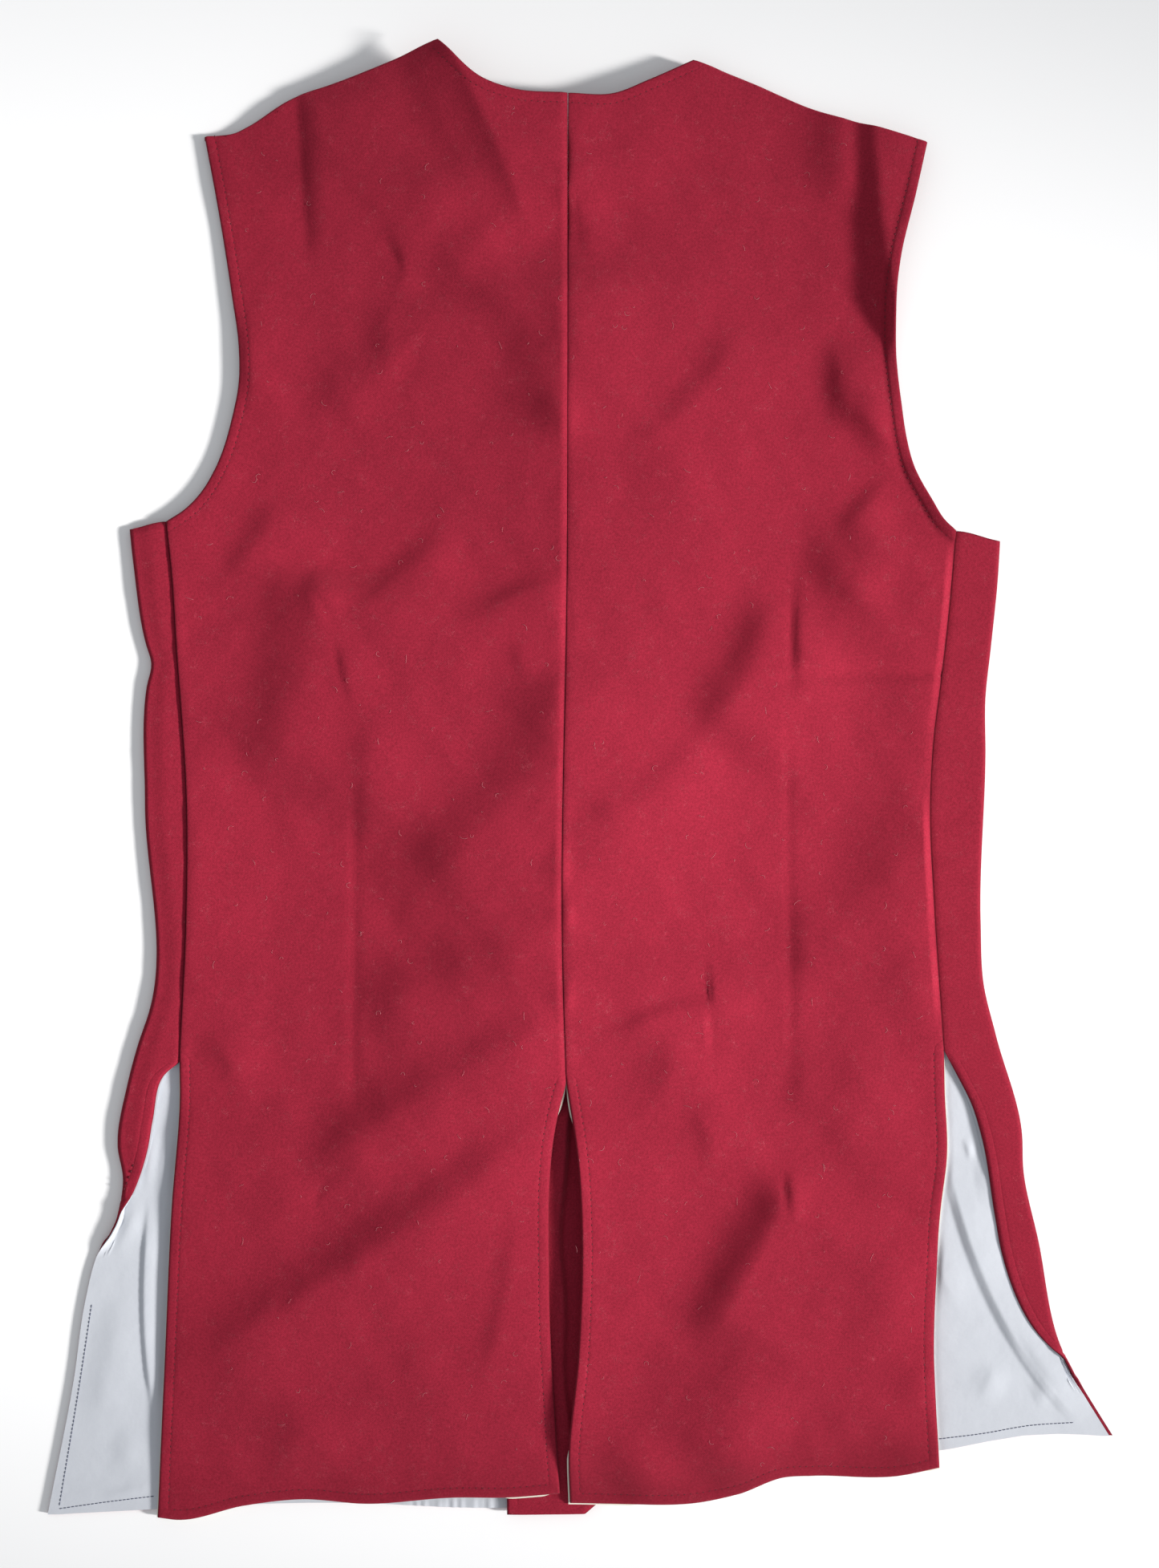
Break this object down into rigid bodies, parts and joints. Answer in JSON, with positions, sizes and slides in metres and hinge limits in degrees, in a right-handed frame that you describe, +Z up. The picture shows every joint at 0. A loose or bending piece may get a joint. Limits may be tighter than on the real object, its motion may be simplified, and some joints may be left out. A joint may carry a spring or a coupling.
{
  "type": "waistcoat",
  "caption": "Sleeveless red wool waistcoat lying flat with its back up: back with a middle seam and vent, fronts round the sides, open side vents, flared skirts with white linings.",
  "frame": {"origin": "on the floor under the middle of the garment as it lies", "axes": "+X to the right of the garment seen from above, +Y from the hem towards the neck, +Z up, away from the floor"},
  "size_m": [0.6388, 0.8843, 0.0164],
  "materials": {
    "red_wool": "matt milled wool with a soft nap",
    "white_cotton": "matt plain weave cotton",
    "cream_cotton": "matt plain weave cotton"
  },
  "bodies": {
    "root": {"back_left": "red_wool", "back_right": "red_wool", "front_left": "red_wool", "front_right": "red_wool", "front_facing": "red_wool", "front_lining_left": "white_cotton", "front_lining_right": "white_cotton", "back_lining_left": "cream_cotton", "back_lining_right": "cream_cotton"}
  },
  "joints": []
}
